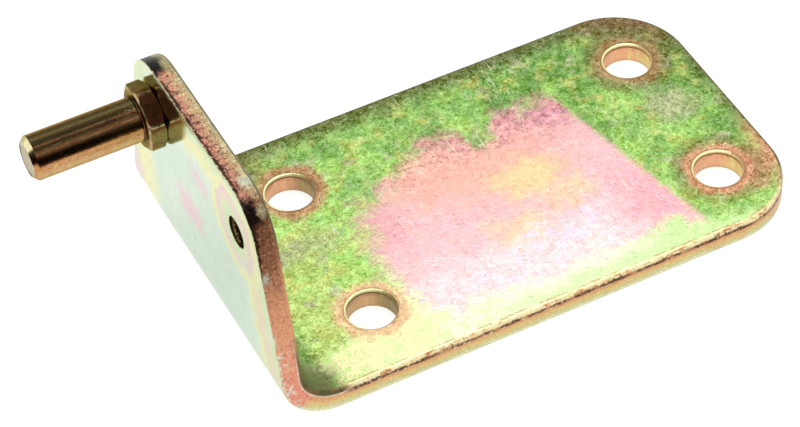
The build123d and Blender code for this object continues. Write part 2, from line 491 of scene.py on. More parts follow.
# the upper side: a rose patch in the green, a painted highlight over the front and a dark back, with rings
# round the holes
def upperSide(m):
    k = film
    soft = m.wandering(1.1, 3.2, m.wandering(0.24, 7.0))
    wx, wy = m.split(m.wandering(4.0, 0.8, soft))[:2]
    outside = outsidePatch(m, wx, wy)
    upper = m.mix(outside, rosePatch(m, wx, wy), greenField(m, wx, wy))
    # the front is covered by a painted highlight, with a ragged border at its back
    bulges = m.add(m.fade(m.x, -16.0, -24.0, 0.0, 3.6), m.fade(m.x, 14.0, 26.0, 0.0, -3.5))
    frontLine = m.add(bulges, m.fade(m.x, -28.5, -33.0, 0.0, -3.0), -17.6)
    front = m.fade(m.sub(wy, frontLine), 1.8, -1.6)
    upper = m.mix(m.mul(front, 0.95), upper, frontHighlight(m, wx))
    upper = darkPlaces(m, upper, wx, wy)

    # rings round the holes, each of its own tint
    ring = m.fade(m.add(m.fromHole, m.mul(m.wander, 2.6), m.mul(m.coarse, 1.6)), 2.3, 0.9)
    frontRing = m.mix(m.fade(m.x, -5.0, 5.0), k["ringPale"], k["ringCopper"])
    backRing = m.mix(m.fade(m.x, -5.0, 5.0), k["ringTan"], k["ringBrown"])
    ringColour = m.mix(m.fade(m.y, -5.0, 5.0), frontRing, backRing)
    upper = m.mix(m.mul(ring, 0.92), upper, ringColour)
    halo = m.mul(m.near(m.add(m.fromHole, m.mul(m.wander, 2.0)), 2.2, 1.3), m.fade(m.x, 12.0, 22.0))
    upper = m.mix(m.mul(halo, 0.45), upper, k["brown"])

    inRose = m.mul(m.sub(1.0, outside), m.fade(m.y, 9.5, 3.0))
    upper = crystalGrain(m, upper, m.sub(1.0, m.mul(m.most(inRose, front), 0.70)))
    upper = outlineRoll(m, upper)

    # a painted highlight on the far side of each hole's rim, darker on the near side, beside a thin painted
    # shade line
    towardsEdge = m.sub(m.mul(m.holeY, m.calc("SIGN", m.y)), m.mul(m.holeX, m.calc("SIGN", m.x)))
    m.farRim = m.fade(towardsEdge, -2.2, 0.8)
    shadeLine = m.near(m.add(m.fromHole, m.mul(m.coarse, 0.4)), 0.42, 0.20)
    shadeLine = m.mul(shadeLine, m.fade(m.coarse, -0.10, 0.03))
    upper = m.mix(m.mul(shadeLine, 0.65), upper, k["brown"])
    rimHighlight = m.mix(m.farRim, m.mix(0.5, ringColour, k["brown"]), k["cream"])
    return m.mix(m.fade(m.fromHole, 0.30, 0.20), upper, rimHighlight)


# rainbow bands of the outer side: where each colour is reached, as a part of the width
outerBands = {
    "outlineWidth": 10.0,
    "outline": [(0.14, "green"), (0.28, "yellow"), (0.44, "yellow"), (0.56, "ice"), (0.75, "cyan")],
    "boreWidth": 6.0,
    "bore": [(0.14, "green"), (0.26, "peach"), (0.42, "pink"), (0.58, "yellow")],
    "spots": [      # middle, half size, strength and colour
        ((3.2, 17.0), (5.5, 4.0), 1.0, "pink"),
        ((-1.0, 25.5), (4.0, 3.0), 0.7, "pink"),
        ((17.5, 10.0), (5.0, 9.0), 0.85, "yellow"),
        ((21.0, 7.0), (3.0, 8.0), 0.75, "pink"),
    ],
}


# the outer side: nearly white, with pale rainbow bands that follow the outline and the holes
def outerSide(m):
    c, bands = outerFilm, outerBands
    drift = m.mul(m.add(m.mul(m.grain(0.16, 2.0, 0.5), 2.2), m.wander), 2.4)
    fromOutline = m.add(m.fromEdge, drift)
    outlineStops = [(part, c[name]) for part, name in bands["outline"]]
    outer = m.ramp(m.calc("DIVIDE", fromOutline, bands["outlineWidth"]), outlineStops)
    wy, wz = m.split(m.wandering(0.5, 2.6))[1:]
    atRight = m.mul(m.near(fromOutline, 2.7, 1.6), m.fade(m.y, -6.0, -11.0), m.fade(m.z, 24.0, 18.0))
    outer = m.mix(m.mul(atRight, 0.8), outer, c["peach"])
    fromBore = m.add(m.fromTapped, m.mul(drift, 0.7), m.mul(m.spot(wy, wz, (-9.0, 30.0), (4.0, 4.0)), -0.8))
    boreStops = [(part, c[name]) for part, name in bands["bore"]]
    aroundBore = m.ramp(m.calc("DIVIDE", fromBore, bands["boreWidth"]), boreStops)
    onSpareSide = m.fade(m.y, -2.5, -5.0)
    outer = m.mix(m.mul(m.fade(fromBore, 5.6, 4.2), onSpareSide, 0.92), outer, aroundBore)
    outer = m.dab(wy, wz, outer, bands["spots"], c)     # along y and z here
    cooler = m.fade(m.grain(0.2, 2.0, 0.5, place=m.elsewhere(5, 20, 3)), 0.0, 0.2)
    outer = m.mix(m.mul(cooler, 0.5), outer, c["ice"])
    outer = m.shade(outer, m.add(1.0, m.mul(m.coarse, 0.16), m.mul(m.wander, 0.15)))
    slanted = m.stretched((1.0, 4.2, 0.8), turn=(0.75, 0.0, 0.0))
    m.pits = m.mul(m.fade(m.grain(1.0, 1.0, 0.4, place=slanted), 0.24, 0.30), m.fade(m.cloud, -0.04, 0.06))
    outer = m.mix(m.mul(m.pits, 0.8), outer, c["pit"])
    below = m.ramp(m.add(m.mul(m.wander, 1.6), m.mul(m.coarse, 0.8), 0.5), [
        (0.2, film["leaf"]), (0.45, film["lime"]), (0.62, film["gold"]), (0.85, film["rosePale"]),
    ])
    return m.mix(m.mul(m.fade(m.z, 4.5, 0.4), 0.75), outer, below)


# the cut edge along the plate: olive below and orange above
def plateEdge(m):
    e = cutEdge
    wavy = m.add(m.depth, m.mul(m.coarse, 0.7), m.mul(m.wander, 0.9))
    edge = m.ramp(m.calc("DIVIDE", wavy, 3.0), [
        (0.08, e["palest"]), (0.21, e["olive"]), (0.36, e["gold"]), (0.60, e["orange"]),
    ])
    redder = m.fade(m.add(m.mul(m.x, 0.03), m.mul(m.wander, 3.0)), 0.5, 1.3)
    return m.mix(m.mul(redder, 0.4), edge, e["orange"])


# the near side of the flange: salmon at the bend and rust at the top, scuffed low down
def flangeSide(m):
    e = cutEdge
    depth, fine, coarse, wander = m.depth, m.fine, m.coarse, m.wander
    up = m.calc("DIVIDE", m.add(m.z, m.mul(wander, 8.0), m.mul(coarse, 3.0)), e["sideHeight"])
    side = m.ramp(up, [(0.22, e["salmon"]), (0.44, e["tan"]), (0.62, e["tan"]), (0.78, e["rust"])])
    side = m.mix(m.mul(m.fade(m.add(fine, m.mul(coarse, 0.6)), 0.05, 0.16), 0.45), side, e["orange"])
    side = m.mix(m.mul(m.fade(m.add(fine, m.mul(coarse, 0.8)), -0.08, -0.20), 0.5), side, e["rust"])
    scuffs = m.fade(m.grain(1.1, 5.0, 0.75, 0.9), 0.05, 0.09)
    scuffs = m.mul(scuffs, m.fade(m.add(depth, m.mul(wander, 4.0)), 2.3, 0.9))
    side = m.mix(m.mul(scuffs, m.fade(m.z, 16.0, 11.0), 0.85), side, e["scuffAndHighlight"])
    rub = m.mul(m.near(m.add(depth, m.mul(coarse, 0.7)), 0.16, 0.34), m.fade(m.z, 18.0, 14.0))
    side = m.mix(m.mul(rub, m.fade(m.add(fine, wander), -0.06, 0.06), 0.85), side, e["scuffAndHighlight"])
    chip = m.mul(m.near(m.add(m.z, m.mul(coarse, 3.0)), 24.2, 1.0), m.fade(m.add(depth, coarse), 1.3, 0.5))
    side = m.mix(m.mul(chip, 0.85), side, e["scuffAndHighlight"])
    # a painted shadow line on the outer half of the near side, towards the top
    lineReach = m.fade(m.z, 24.0, 31.0, 0.25, 1.0)
    lineDepth = m.add(depth, m.mul(coarse, 0.9), m.mul(fine, 0.4))
    shadowLine = m.mul(m.fade(lineDepth, lineReach, m.mul(lineReach, 0.3)), m.fade(m.z, 22.0, 25.5))
    side = m.mix(m.mul(shadowLine, 0.9), side, e["shadeBlack"])
    specks = m.fade(m.add(fine, m.mul(m.ultra, 0.6)), -0.06, -0.16)
    specks = m.mul(specks, m.fade(m.add(m.z, m.mul(wander, 6.0)), 18.0, 26.0))
    return m.mix(m.mul(specks, 0.75), side, e["darkRed"])


# the near top corner, dark red and rust, with painted dark reflection, black on its outer half, and a
# painted cream highlight
def nearCorner(m, edge):
    e = cutEdge
    depth, fine, coarse = m.depth, m.fine, m.coarse
    cornerUp = m.fade(m.add(m.z, m.mul(coarse, 2.0)), 30.9, 31.8)
    corner = m.mul(cornerUp, m.fade(m.add(m.y, m.mul(coarse, 1.5)), -11.2, -12.6))
    black = m.fade(m.add(depth, m.mul(coarse, 2.6), fine), 1.9, 1.2)
    edge = m.mix(m.mul(corner, 0.8), edge, m.mix(m.fade(coarse, -0.08, 0.08), e["darkRed"], e["rust"]))
    # black on the outer half is painted dark reflection
    edge = m.mix(m.mul(corner, black, 0.97), edge, e["shadeBlack"])
    # the cream spot is a painted highlight
    creamZ = m.add(m.z, m.mul(coarse, 1.6))
    cream = m.spot(creamZ, m.add(depth, m.mul(fine, 0.8)), (32.35, 2.15), (0.85, 0.85))
    return m.mix(m.mul(corner, cream, 0.95), edge, e["creamFlakeAndHighlight"])


# the torn top: salmon flakes outside and gold ones inside, each with painted shade towards its rim, with
# crevices between them
def tornTop(m, edge):
    e = cutEdge
    depth, fine, coarse, wander = m.depth, m.fine, m.coarse, m.wander
    flakePlace = m.wandering(1.3, 0.75, m.stretched((0.55, 1.0, 1.0)))
    cellDistance = m.cells(0.95, place=flakePlace)
    wide = m.cells(0.85, "DISTANCE_TO_EDGE", place=flakePlace)
    narrow = m.cells(1.6, "DISTANCE_TO_EDGE", place=m.wandering(2.0, 0.6))
    inner = m.fade(m.add(depth, coarse), 1.3, 1.9)
    crackLine = m.add(m.mul(wide, m.sub(1.0, inner)), m.mul(narrow, inner, 1.4))
    openness = m.fade(m.add(m.mul(wander, 1.6), m.mul(m.sub(1.4, depth), 0.09)), -0.14, 0.24)
    crack = m.fade(m.add(crackLine, m.mul(fine, 0.16)), m.add(m.mul(openness, 0.10), 0.035), 0.0)
    flakeTone = m.add(m.mul(depth, 0.32), m.mul(coarse, 1.2), m.mul(fine, 0.7))
    flake = m.ramp(flakeTone, [(0.36, e["flakeSalmon"]), (0.56, e["flakeGold"]), (0.85, e["creamFlakeAndHighlight"])])
    # painted shade: each flake lighter in its middle and darker towards its rim
    flake = m.shade(flake, m.fade(cellDistance, 0.1, 0.8, 1.10, 0.85))
    flake = m.mix(m.mul(crack, 0.9), flake, e["crack"])
    whiteEnd = m.mul(m.near(m.add(m.y, m.mul(coarse, 2.5)), -11.6, 1.2), m.fade(depth, 0.9, 1.4))
    flake = m.mix(m.mul(whiteEnd, 0.9), flake, film["white"])
    m.torn = m.mul(m.fade(m.add(m.z, m.mul(coarse, 0.8)), 33.0, 33.6), m.fade(m.y, 11.2, 9.8))
    edge = m.mix(m.torn, edge, flake)
    m.crease = m.add(depth, m.mul(coarse, 0.7), m.mul(fine, 0.3))
    topZone = m.mul(m.fade(m.z, 31.5, 33.4), m.fade(m.y, 12.5, 11.0))
    dark = m.mul(m.near(m.crease, 0.30, 0.30), m.fade(m.add(wander, m.mul(coarse, 0.6)), -0.18, -0.04))
    return m.mix(m.mul(topZone, dark, 0.95), edge, e["crack"])


# the smooth far corner, dark with painted dark reflection, the crease beside the outer side with a painted
# highlight line, and the smooth inner roll
def farCornerAndRoll(m, edge):
    e = cutEdge
    depth, coarse, wander, crease = m.depth, m.coarse, m.wander, m.crease
    farCorner = m.mul(m.fade(m.y, 9.6, 11.6), m.fade(m.z, 25.0, 29.0))
    # the far corner's darkness is painted dark reflection
    smooth = m.mix(m.fade(m.add(m.y, m.mul(wander, 3.0)), 14.2, 12.4), e["smoothDark"], e["shadeBlack"])
    smooth = m.mix(m.fade(m.add(depth, m.mul(wander, 2.0)), 1.2, 2.0), smooth, e["smoothPale"])
    edge = m.mix(farCorner, edge, smooth)
    # a painted highlight line along the crease beside the outer side
    edge = m.mix(m.mul(m.fade(m.z, 20.0, 27.0), m.fade(crease, 0.12, 0.02)), edge, e["creamFlakeAndHighlight"])
    innerRoll = m.mul(m.fade(m.z, 24.0, 30.0), m.fade(m.add(depth, m.mul(coarse, 0.3)), 2.5, 2.66))
    return m.mix(m.mul(innerRoll, 0.85), edge, e["smooth"])


# the roll of the plate's edge, a painted highlight line on the inner roll in the bend, and the broken line
# under the roll
def lineUnderRoll(m, edge):
    e = cutEdge
    depth, fine, coarse, wander = m.depth, m.fine, m.coarse, m.wander
    low = m.fade(m.z, 16.0, 9.0)
    inBend = m.mul(m.fade(m.x, -33.5, -35.5), low)
    # a painted highlight line along the inner roll in the bend
    edge = m.mix(m.mul(m.near(m.add(depth, m.mul(coarse, 0.5)), 2.45, 0.22), inBend, 0.8), edge, e["scuffAndHighlight"])
    onPlate = m.mul(low, m.sub(1.0, inBend))
    lineWidth = m.fade(wander, -0.15, 0.15, 0.12, 0.46)
    upperLine = m.near(m.add(depth, m.mul(coarse, 1.2), m.mul(fine, 0.5)), 2.26, lineWidth)
    upperLine = m.mul(upperLine, m.fade(m.add(wander, coarse), -0.14, -0.02))
    lowerWave = m.mul(m.grain(1.0, 3.0, 0.6, place=m.elsewhere(3, 8, 5)), 1.2)
    lowerLine = m.mul(m.near(m.add(depth, lowerWave), 2.05, 0.18), m.fade(coarse, 0.02, 0.12), 0.8)
    m.line = m.mul(m.most(upperLine, lowerLine), onPlate)
    # the roll's colour, with its painted front highlight, over the top of the cut edge
    edge = m.mix(m.mul(m.fade(depth, 2.38, 2.56), low, 0.95), edge, m.rollColour)
    edge = m.mix(m.mul(m.near(depth, 2.2, 0.5), onPlate, 0.5), edge, e["copper"])
    lineColour = m.mix(m.fade(m.add(fine, coarse), 0.06, 0.20), e["crack"], e["copper"])
    edge = m.mix(m.mul(m.line, 0.95), edge, lineColour)
    fragments = m.fade(m.cells(1.3, place=m.wandering(1.5, 0.7)), 0.34, 0.22)
    fragments = m.mul(fragments, m.near(depth, 2.15, 0.55), m.fade(m.x, 2.0, -14.0), onPlate)
    fragmentColour = m.mix(m.fade(wander, -0.08, 0.08), e["creamFlakeAndHighlight"], film["rosePale"])
    return m.mix(m.mul(fragments, 0.75), edge, fragmentColour)


# the cut edge all round
def cutSide(m):
    above = m.add(m.z, m.mul(m.sub(m.x, sheet["outerFace"]), -0.35), m.mul(m.wander, 3.0))
    edge = m.mix(m.fade(above, 0.6, 3.6), plateEdge(m), flangeSide(m))
    edge = nearCorner(m, edge)
    edge = tornTop(m, edge)
    edge = farCornerAndRoll(m, edge)
    edge = lineUnderRoll(m, edge)
    grainy = m.add(m.mul(m.fine, 1.3), m.mul(m.coarse, 0.5), m.mul(m.ultra, 0.5))
    return m.shade(edge, m.add(1.0, m.mul(grainy, m.fade(m.torn, 0.0, 1.0, 0.8, 0.5))))


# walls of the punched holes, with streaks from the punch, and the tapped holes
def holeWalls(m, edge):
    e, k = cutEdge, film
    streak = m.grain(1.8, 3.0, 0.6, place=m.stretched((1.0, 1.0, 0.14)))
    turned = m.sub(m.x, m.mul(m.calc("SIGN", m.x), sheet["holeAlong"]))
    golden = m.fade(m.add(m.mul(turned, 0.20), m.mul(streak, 1.1)), 0.28, 0.74)
    wall = m.mix(golden, e["wallCopper"], e["wallGold"])
    wall = m.mix(m.mul(m.fade(m.add(m.x, m.y), -30.0, -36.0), 0.6), wall, e["wallOlive"])
    wall = m.shade(wall, m.fade(m.x, 10.0, -10.0, 1.0, m.fade(turned, 0.5, 3.0, 0.95, 0.55)))
    wall = m.shade(wall, m.add(1.0, m.mul(streak, 0.5)))
    # a painted shade line under the rim, then a painted highlight on the rim's top, strongest on the far
    # side
    wall = m.mix(m.mul(m.near(m.add(m.depth, m.mul(m.coarse, 0.3)), 2.55, 0.26), 0.85), wall, k["brown"])
    wall = m.mix(m.mul(m.fade(m.depth, 2.70, 2.78), m.fade(m.farRim, 0.0, 1.0, 0.35, 1.0)), wall, k["cream"])
    wall = m.mix(m.mul(m.fade(m.depth, 0.4, 0.1), 0.5), wall, k["ringCopper"])
    edge = m.mix(m.fade(m.fromHole, 0.45, 0.30), edge, wall)
    inTapped = m.mul(m.fade(m.fromTapped, 0.40, 0.30), m.fade(m.x, -40.0, -40.4))
    # near black inside the bore as painted shade, with painted glints along the turns of the thread
    turns = m.calc("SINE", m.mul(m.x, 2.0 * math.pi / sheet["threadPitch"]))
    bore = m.mix(m.mul(m.fade(turns, 0.5, 1.0), 0.25), e["boreShade"], e["gold"])
    bore = m.mix(m.fade(m.fromTapped, 0.03, 0.10), bore, outerFilm["yellow"])
    return m.mix(inTapped, edge, bore)


def makeSheetMetal():
    s = sheet
    m = NodeBench("yellow_passivated_sheet")
    measureSheet(m)
    upper = upperSide(m)
    outer = outerSide(m)
    edge = holeWalls(m, cutSide(m))
    colour = m.mix(m.fade(m.depth, 0.015, 0.06), outer, edge)
    colour = m.mix(m.fade(m.depth, 2.90, 2.985), colour, upper)
    m.plug(colour, m.shader.inputs["Base Color"])
    onFace = m.fade(m.depth, 0.06, 0.015)
    m.plug(m.fade(onFace, 0.0, 1.0, s["metallic"], 1.0), m.shader.inputs["Metallic"])
    rough = m.add(s["roughness"], m.mul(m.coarse, 0.30), m.mul(m.fine, 0.20))
    rough = m.add(m.mul(rough, m.sub(1.0, onFace)), m.mul(onFace, s["faceRoughness"]))
    m.plug(m.most(rough, 0.08), m.shader.inputs["Roughness"])
    relief = m.mul(m.add(m.fine, m.mul(m.coarse, 0.9)), m.sub(1.0, m.mul(onFace, 0.93)))
    tornRelief = m.mul(m.torn, m.add(m.coarse, m.mul(m.fine, 0.5)), 2.4)
    relief = m.add(relief, m.mul(m.line, -1.2), tornRelief, m.mul(m.pits, onFace, -0.5))
    m.bump(relief, s["relief"])
    return m.material


plateNode.material_slots[0].material = makeSheetMetal()
print("sheet finished")


# the hinge pin, bronze passivation on turned steel
pin = {
    "axisY": 12.0,
    "axisZ": 26.3,
    "tip": -61.0,
    "chamfer": 0.65,
    "collarFront": -46.0,
    "bronze": (0.60, 0.29, 0.11),
    "bronzeOlive": (0.48, 0.37, 0.14),
    "bronzePale": (0.80, 0.52, 0.26),
    "bronzeRed": (0.44, 0.16, 0.07),
    "collarOlive": (0.27, 0.20, 0.075),
    "collarRed": (0.15, 0.05, 0.022),
    "redHighlightLine": (0.95, 0.36, 0.14),
    # pale, for scratches from wear and for painted highlights
    "paleWearAndHighlight": (0.90, 0.80, 0.45),
    "end": (0.90, 0.90, 0.82),
    # near black, for painted shade and painted dark reflection
    "shadeDark": (0.02, 0.018, 0.015),
    "edgeTint": (0.62, 0.54, 0.40, 1.0),
    "metallic": 1.0,
    "roughness": 0.12,
    "relief": 0.00002,
}


# bronze with paler and redder streaks, a painted darker olive top, a painted paler lower front side, and a
# painted red highlight line
def pinBody(m, dy, dz, streak, patchy, coarse):
    p = pin
    tint = m.add(m.mul(streak, 1.4), m.mul(patchy, 1.2), m.mul(coarse, 0.5), 0.5)
    bronzes = [(0.12, p["bronzeRed"]), (0.38, p["bronze"]), (0.62, p["bronze"]), (0.90, p["bronzePale"])]
    body = m.ramp(tint, bronzes)
    # painted shade: darker olive on top
    body = m.mix(m.mul(m.fade(m.add(dz, m.mul(streak, 2.0)), 2.3, 2.9), 0.9), body, p["bronzeOlive"])
    # painted light: paler on the lower front side
    body = m.mix(m.fade(m.add(dz, dy, m.mul(patchy, 1.5)), -2.6, -3.9), body, p["bronzePale"])
    scores = m.mul(m.scratches((0.04, 2.4, 2.4), (0, 0, 0), 0.02, (2, 1, 4)), m.fade(patchy, -0.1, 0.1))
    body = m.mix(m.mul(scores, 0.7), body, p["paleWearAndHighlight"])
    # a thin painted red highlight line along the pin
    redHighlightLine = m.mul(m.near(m.add(dy, m.mul(streak, 0.3)), -1.25, 0.16), m.fade(dz, 1.0, 2.0))
    return m.mix(m.mul(redHighlightLine, m.fade(patchy, -0.15, 0.0), 0.8), body, p["redHighlightLine"])


# the collar: olive flats, the facet towards the front and up dark red as painted shade, a painted lighter
# top, and painted highlights on its edges and low on its front chamfer
def pinCollar(m, dy, dz, radius, streak, patchy, coarse):
    p = pin
    front = p["collarFront"]
    upFront = m.sub(m.mul(dz, 0.79), m.mul(dy, 0.62))
    # painted shade: the facet towards the front and up is dark red
    shadedSide = m.fade(m.add(upFront, m.mul(patchy, 2.0)), 2.6, 3.8)
    collar = m.mix(shadedSide, p["collarOlive"], p["collarRed"])
    # painted light: lighter on top
    collar = m.shade(collar, m.fade(m.add(dz, m.mul(dy, 0.4)), 2.6, 3.6, 1.0, 1.5))
    collar = m.shade(collar, m.add(1.0, m.mul(coarse, 0.9), m.mul(streak, 0.5)))
    frontRim = m.mul(m.fade(radius, 3.92, 4.02), m.fade(m.x, front + 0.35, front + 0.10))
    # painted highlights along the collar's edges
    edgeHighlight = m.most(m.fade(radius, 4.40, 4.60), frontRim)
    collar = m.mix(m.mul(edgeHighlight, m.fade(m.add(coarse, patchy), -0.2, 0.1), 0.55), collar, p["paleWearAndHighlight"])
    # a painted highlight low on the front chamfer
    lowChamfer = m.mul(m.fade(radius, 3.9, 4.0), m.fade(m.x, front + 0.42, front + 0.25))
    return m.mix(m.mul(lowChamfer, m.fade(upFront, 2.4, 1.2), 0.6), collar, p["paleWearAndHighlight"])


# the tip: the chamfer has a painted highlight on top, and the end face has a painted dark reflection along
# its rim on one side
def pinTip(m, colour, dy, dz, radius, coarse):
    p = pin
    onChamfer = m.fade(m.x, p["tip"] + p["chamfer"] + 0.03, p["tip"] + p["chamfer"] - 0.05)
    # painted highlight on the top of the chamfer
    chamferHighlight = m.fade(m.add(dz, m.mul(dy, 0.5), coarse), 1.0, 1.9)
    colour = m.mix(m.mul(onChamfer, chamferHighlight), colour, p["paleWearAndHighlight"])
    onEnd = m.fade(m.x, p["tip"] + 0.05, p["tip"] + 0.02)
    across = m.sub(m.mul(dy, 0.655), m.mul(dz, 0.756))
    # painted dark reflection along one side of the end face's rim
    darkReflectionRim = m.mul(m.fade(radius, 1.80, 1.95), m.fade(across, 0.1, 0.9))
    endColour = m.shade(m.mix(darkReflectionRim, p["end"], p["shadeDark"]), m.add(1.0, m.mul(coarse, 0.4)))
    return m.mix(onEnd, colour, endColour)


def makePinMetal():
    p = pin
    front = p["collarFront"]
    m = NodeBench("bronze_passivated_pin")
    dy = m.sub(m.y, p["axisY"])
    dz = m.sub(m.z, p["axisZ"])
    radius = m.length(dy, dz)
    streak = m.grain(1.4, 3.0, 0.6, place=m.stretched((0.10, 1.0, 1.0)))
    patchy = m.grain(0.5, 3.0, 0.6)
    coarse = m.grain(1.4, 3.0, 0.6, 0.4)
    fine = m.grain(4.2, 3.0, 0.65, 0.3)
    body = pinBody(m, dy, dz, streak, patchy, coarse)
    collar = pinCollar(m, dy, dz, radius, streak, patchy, coarse)
    onCollar = m.mul(m.fade(m.x, front - 0.05, front + 0.05), m.fade(radius, 2.3, 2.6))
    onFrontFace = m.mul(m.fade(m.x, front - 0.05, front - 0.01), m.fade(radius, 3.15, 3.3))
    colour = m.mix(m.most(onCollar, onFrontFace), body, collar)
    # a painted shadow line where the pin meets the collar
    root = m.mul(m.fade(m.x, front - 0.42, front - 0.20), m.fade(radius, 3.4, 3.2))
    colour = m.mix(m.mul(root, 0.85), colour, p["shadeDark"])
    colour = pinTip(m, colour, dy, dz, radius, coarse)
    colour = m.shade(colour, m.add(1.0, m.mul(fine, 1.2), m.mul(coarse, 0.5)))
    m.plug(colour, m.shader.inputs["Base Color"])
    m.shader.inputs["Metallic"].default_value = p["metallic"]
    m.shader.inputs["Specular Tint"].default_value = p["edgeTint"]
    rough = m.add(p["roughness"], m.mul(fine, 0.2), m.mul(streak, 0.15))
    m.plug(m.most(rough, 0.05), m.shader.inputs["Roughness"])
    rings = m.grain(1.0, 2.0, 0.5, place=m.stretched((6.0, 0.3, 0.3)))
    m.bump(m.add(m.mul(fine, 0.8), m.mul(rings, 0.3)), p["relief"])
    return m.material


pinNode.material_slots[0].material = makePinMetal()
print("pin finished")


# the thread in the spare tapped hole, in millimetres
thread = {
    "y": -12.0,
    "z": 26.3,
    "start": -42.93,
    "boreRadius": 2.12,
    "crestRadius": 1.88,
    "pitch": 0.8,
    "turns": 2.6,
    "stepsPerTurn": 48,
    "rootWidth": 0.62,
    "crestWidth": 0.14,
    # near black as painted shade inside the hole, with paler specks of painted glint
    "colour": (0.065, 0.042, 0.014),
    "paintedGlint": (0.30, 0.21, 0.075),
    "metallic": 0.95,
    "roughness": 0.28,
    "relief": 0.00002,
}


def makeThreadMetal():
    t = thread
    m = NodeBench("passivated_thread")
    fine = m.grain(3.5, 3.0, 0.6)
    # painted glints on the dark thread
    colour = m.mix(m.fade(fine, -0.05, 0.15), t["colour"], t["paintedGlint"])
    m.plug(m.shade(colour, m.add(1.0, m.mul(fine, 1.5))), m.shader.inputs["Base Color"])
    m.shader.inputs["Metallic"].default_value = t["metallic"]
    m.plug(m.add(t["roughness"], m.mul(fine, 0.3)), m.shader.inputs["Roughness"])
    m.bump(fine, t["relief"])
    return m.material


# a small flat profile, narrowed at its crest, is wound round the hole
def makeThread():
    t = thread
    mm = 0.001
    middle = (t["boreRadius"] + t["crestRadius"]) / 2 * mm
    bpy.ops.object.select_all(action="DESELECT")
    bpy.ops.mesh.primitive_plane_add(size=1.0, location=(middle, 0.0, 0.0), rotation=(math.pi / 2, 0.0, 0.0))
    ridge = bpy.context.object
    ridge.name = "spare_hole_thread"
    ridge.scale = ((t["boreRadius"] - t["crestRadius"]) * mm, t["rootWidth"] * mm, 1.0)
    bpy.ops.object.transform_apply(location=True, rotation=True, scale=True)
    bpy.ops.object.mode_set(mode="EDIT")
    bpy.ops.mesh.select_mode(type="VERT")
    bpy.ops.mesh.select_all(action="DESELECT")
    bpy.ops.object.mode_set(mode="OBJECT")
    for vertex in ridge.data.vertices:
        vertex.select = vertex.co.x < middle
    bpy.ops.object.mode_set(mode="EDIT")
    bpy.ops.transform.resize(value=(1.0, 1.0, t["crestWidth"] / t["rootWidth"]))
    bpy.ops.object.mode_set(mode="OBJECT")
    winding = ridge.modifiers.new("winding", "SCREW")
    winding.axis = "Z"
    winding.angle = 2 * math.pi * t["turns"]
    winding.screw_offset = t["pitch"] * t["turns"] * mm
    winding.steps = winding.render_steps = int(t["turns"] * t["stepsPerTurn"])
    bpy.ops.object.modifier_apply(modifier="winding")

    # close both ends
    bpy.ops.object.mode_set(mode="EDIT")
    bpy.ops.mesh.select_all(action="DESELECT")
    bpy.ops.mesh.select_non_manifold()
    bpy.ops.mesh.fill_holes(sides=4)
    bpy.ops.mesh.select_all(action="SELECT")
    bpy.ops.mesh.remove_doubles(threshold=0.000001)
    bpy.ops.mesh.normals_make_consistent(inside=False)
    bpy.ops.object.mode_set(mode="OBJECT")
    ridge.rotation_euler = (0.0, math.pi / 2, 0.0)
    ridge.location = (t["start"] * mm, t["y"] * mm, t["z"] * mm)
    bpy.ops.object.transform_apply(location=True, rotation=True, scale=True)
    bpy.ops.object.shade_smooth_by_angle(angle=math.radians(35))
    ridge.data.materials.append(makeThreadMetal())
    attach(ridge, "root")


makeThread()
print("thread finished")


# the white studio, in metres: floor, world, lights, and the two small cards beside the pin
studio = {
    "floorSize": 3.0,
    "floorDrop": 0.0001,
    "floorTone": 0.45,
    "floorSeen": 0.80,
    "floorMirrored": 0.55,
    "worldLevel": 0.55,
    "lights": {     # place, size and power
        "overhead_softbox": ((0.08, 0.12, 0.75), (0.40, 0.30), 1.5),
        "side_fill": ((-0.70, -0.15, 0.45), (0.50, 0.50), 1.0),
    },
    "tipCardPlace": (-0.106, 0.003, 0.032),
    "tipCardSize": 0.036,
    "tipCardTone": 0.01,
    "pinShadePlace": (-0.0535, 0.0125, 0.0365),
    "pinShadeSize": (0.0185, 0.016),
}


# one value for the light itself, and others for what the camera sees and what metal and glass mirror
def byRay(tree, otherwise, seen, mirrored):
    rays = tree.nodes.new("ShaderNodeLightPath")
    strength = otherwise
    levels = {"Is Transmission Ray": mirrored, "Is Glossy Ray": mirrored, "Is Camera Ray": seen}
    for ray, level in levels.items():
        choice = tree.nodes.new("ShaderNodeMix")
        choice.data_type = "FLOAT"
        tree.links.new(rays.outputs[ray], choice.inputs[0])
        if isinstance(strength, bpy.types.NodeSocket):
            tree.links.new(strength, choice.inputs[2])
        else:
            choice.inputs[2].default_value = strength
        choice.inputs[3].default_value = level
        strength = choice.outputs[0]
    return strength


def makeFloor():
    bpy.ops.mesh.primitive_plane_add(size=studio["floorSize"], location=(0.0, 0.0, -studio["floorDrop"]))
    floor = bpy.context.object
    floor.name = "studio_floor"
    material = bpy.data.materials.new("floor_white")
    material.use_nodes = True
    tree = material.node_tree
    tree.nodes.clear()
    matt = tree.nodes.new("ShaderNodeBsdfDiffuse")
    matt.inputs["Color"].default_value = (studio["floorTone"],) * 3 + (1.0,)
    glow = tree.nodes.new("ShaderNodeEmission")
    tree.links.new(byRay(tree, 0.0, studio["floorSeen"], studio["floorMirrored"]), glow.inputs["Strength"])
    both = tree.nodes.new("ShaderNodeAddShader")
    output = tree.nodes.new("ShaderNodeOutputMaterial")
    tree.links.new(matt.outputs[0], both.inputs[0])
    tree.links.new(glow.outputs[0], both.inputs[1])
    tree.links.new(both.outputs[0], output.inputs[0])
    floor.data.materials.append(material)


